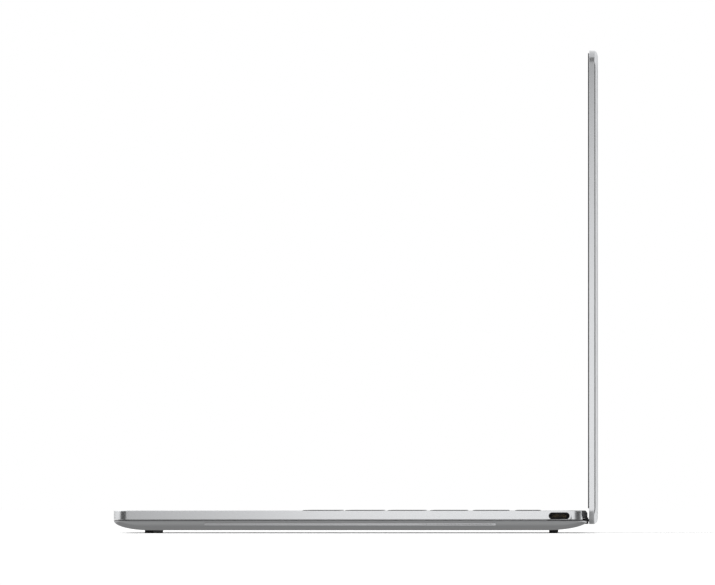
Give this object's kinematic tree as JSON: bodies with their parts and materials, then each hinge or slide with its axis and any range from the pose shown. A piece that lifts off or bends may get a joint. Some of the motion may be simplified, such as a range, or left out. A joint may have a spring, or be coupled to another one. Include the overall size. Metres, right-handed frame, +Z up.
{
  "type": "laptop computer",
  "caption": "Thin aluminium clamshell laptop, open at a right angle, with keyboard, touchpad, ports, cooling and battery inside and a lid on friction hinges.",
  "frame": {"origin": "on the desk, under the middle of the box of the laptop as it stands open at a right angle", "axes": "+X to the user's right along the hinge line, +Y towards the back, +Z up"},
  "size_m": [0.2954, 0.2038, 0.2032],
  "materials": {
    "aluminium": "fine bead-blasted anodised silver",
    "dark_plastic": "satin black moulding",
    "key_plastic": "soft matt dark grey caps with light legends",
    "rubber": "matt black",
    "screen_glass": "edge-to-edge glass, black behind",
    "pad_glass": "etched glass, silver grey",
    "display_layers": "laminated display stack",
    "steel": "plain stamped or turned steel",
    "circuit_board": "solder-masked board",
    "copper": "bare copper",
    "cell_wrap": "black wrapped cells"
  },
  "bodies": {
    "base": {"deck": "aluminium", "bottom_cover": "aluminium", "rear_trim": "dark_plastic", "front_foot": "rubber", "rear_foot": "rubber", "speaker_grille_left": "aluminium", "speaker_grille_right": "aluminium", "speaker_left": "dark_plastic", "speaker_right": "dark_plastic", "bottom_screw_1": "steel", "bottom_screw_2": "steel", "bottom_screw_3": "steel", "bottom_screw_4": "steel", "bottom_screw_5": "steel", "bottom_screw_6": "steel", "usb_c_port_left": "steel", "usb_c_port_right": "steel", "touchpad_bracket": "steel", "keyboard_plate": "steel", "battery_cell_left": "cell_wrap", "battery_cell_middle": "cell_wrap", "battery_cell_right": "cell_wrap", "mainboard": "circuit_board", "processor": "dark_plastic", "solid_state_drive": "dark_plastic", "wireless_card": "steel", "heat_pipe": "copper", "heat_sink": "copper", "fan_housing": "dark_plastic", "hinge_bracket_left": "steel", "hinge_bracket_right": "steel"},
    "fan": {"fan_rotor": "dark_plastic"},
    "lid": {"lid_shell": "aluminium", "glass_gasket": "rubber", "cover_glass": "screen_glass", "display_panel": "display_layers", "camera_module": "circuit_board", "hinge_arm_left": "steel", "hinge_arm_right": "steel", "hinge_cover_left": "dark_plastic", "hinge_cover_right": "dark_plastic"},
    "touchpad": {"touchpad": "pad_glass"},
    "left_modifier_keys": {"left_modifier_keys": "key_plastic"},
    "space_bar": {"space_bar": "key_plastic"},
    "right_modifier_keys": {"right_modifier_keys": "key_plastic"},
    "arrow_key_left": {"arrow_key_left": "key_plastic"},
    "arrow_key_down": {"arrow_key_down": "key_plastic"},
    "arrow_key_up": {"arrow_key_up": "key_plastic"},
    "arrow_key_right": {"arrow_key_right": "key_plastic"},
    "left_shift_key": {"left_shift_key": "key_plastic"},
    "lower_letter_keys": {"lower_letter_keys": "key_plastic"},
    "right_shift_key": {"right_shift_key": "key_plastic"},
    "home_letter_keys": {"home_letter_keys": "key_plastic"},
    "enter_key": {"enter_key": "key_plastic"},
    "upper_letter_keys": {"upper_letter_keys": "key_plastic"},
    "number_keys": {"number_keys": "key_plastic"},
    "backspace_key": {"backspace_key": "key_plastic"},
    "function_keys": {"function_keys": "key_plastic"},
    "power_button": {"power_button": "key_plastic"}
  },
  "joints": [
    {"name": "lid_hinge", "type": "hinge", "parent": "base", "child": "lid", "pos_m": [0, 0.09452, 0.0068], "axis": [1, 0, 0], "range_deg": [-45, 90]},
    {"name": "fan_spin", "type": "hinge", "parent": "base", "child": "fan", "pos_m": [0.072, 0.05008, 0.0042], "axis": [0, 0, 1], "continuous": true},
    {"name": "touchpad_click", "type": "slide", "parent": "base", "child": "touchpad", "axis": [0, 0, -1], "range_m": [0, 0.00035], "stiffness_N_per_m": 5000, "springref_m": -0.0003},
    {"name": "left_modifier_keys_press", "type": "slide", "parent": "base", "child": "left_modifier_keys", "axis": [0, 0, -1], "range_m": [0, 0.001], "stiffness_N_per_m": 600, "springref_m": -0.0005},
    {"name": "space_bar_press", "type": "slide", "parent": "base", "child": "space_bar", "axis": [0, 0, -1], "range_m": [0, 0.001], "stiffness_N_per_m": 600, "springref_m": -0.0005},
    {"name": "right_modifier_keys_press", "type": "slide", "parent": "base", "child": "right_modifier_keys", "axis": [0, 0, -1], "range_m": [0, 0.001], "stiffness_N_per_m": 600, "springref_m": -0.0005},
    {"name": "arrow_key_left_press", "type": "slide", "parent": "base", "child": "arrow_key_left", "axis": [0, 0, -1], "range_m": [0, 0.001], "stiffness_N_per_m": 600, "springref_m": -0.0005},
    {"name": "arrow_key_down_press", "type": "slide", "parent": "base", "child": "arrow_key_down", "axis": [0, 0, -1], "range_m": [0, 0.001], "stiffness_N_per_m": 600, "springref_m": -0.0005},
    {"name": "arrow_key_up_press", "type": "slide", "parent": "base", "child": "arrow_key_up", "axis": [0, 0, -1], "range_m": [0, 0.001], "stiffness_N_per_m": 600, "springref_m": -0.0005},
    {"name": "arrow_key_right_press", "type": "slide", "parent": "base", "child": "arrow_key_right", "axis": [0, 0, -1], "range_m": [0, 0.001], "stiffness_N_per_m": 600, "springref_m": -0.0005},
    {"name": "left_shift_key_press", "type": "slide", "parent": "base", "child": "left_shift_key", "axis": [0, 0, -1], "range_m": [0, 0.001], "stiffness_N_per_m": 600, "springref_m": -0.0005},
    {"name": "lower_letter_keys_press", "type": "slide", "parent": "base", "child": "lower_letter_keys", "axis": [0, 0, -1], "range_m": [0, 0.001], "stiffness_N_per_m": 600, "springref_m": -0.0005},
    {"name": "right_shift_key_press", "type": "slide", "parent": "base", "child": "right_shift_key", "axis": [0, 0, -1], "range_m": [0, 0.001], "stiffness_N_per_m": 600, "springref_m": -0.0005},
    {"name": "home_letter_keys_press", "type": "slide", "parent": "base", "child": "home_letter_keys", "axis": [0, 0, -1], "range_m": [0, 0.001], "stiffness_N_per_m": 600, "springref_m": -0.0005},
    {"name": "enter_key_press", "type": "slide", "parent": "base", "child": "enter_key", "axis": [0, 0, -1], "range_m": [0, 0.001], "stiffness_N_per_m": 600, "springref_m": -0.0005},
    {"name": "upper_letter_keys_press", "type": "slide", "parent": "base", "child": "upper_letter_keys", "axis": [0, 0, -1], "range_m": [0, 0.001], "stiffness_N_per_m": 600, "springref_m": -0.0005},
    {"name": "number_keys_press", "type": "slide", "parent": "base", "child": "number_keys", "axis": [0, 0, -1], "range_m": [0, 0.001], "stiffness_N_per_m": 600, "springref_m": -0.0005},
    {"name": "backspace_key_press", "type": "slide", "parent": "base", "child": "backspace_key", "axis": [0, 0, -1], "range_m": [0, 0.001], "stiffness_N_per_m": 600, "springref_m": -0.0005},
    {"name": "function_keys_press", "type": "slide", "parent": "base", "child": "function_keys", "axis": [0, 0, -1], "range_m": [0, 0.001], "stiffness_N_per_m": 600, "springref_m": -0.0005},
    {"name": "power_button_press", "type": "slide", "parent": "base", "child": "power_button", "axis": [0, 0, -1], "range_m": [0, 0.001], "stiffness_N_per_m": 600, "springref_m": -0.0005}
  ]
}
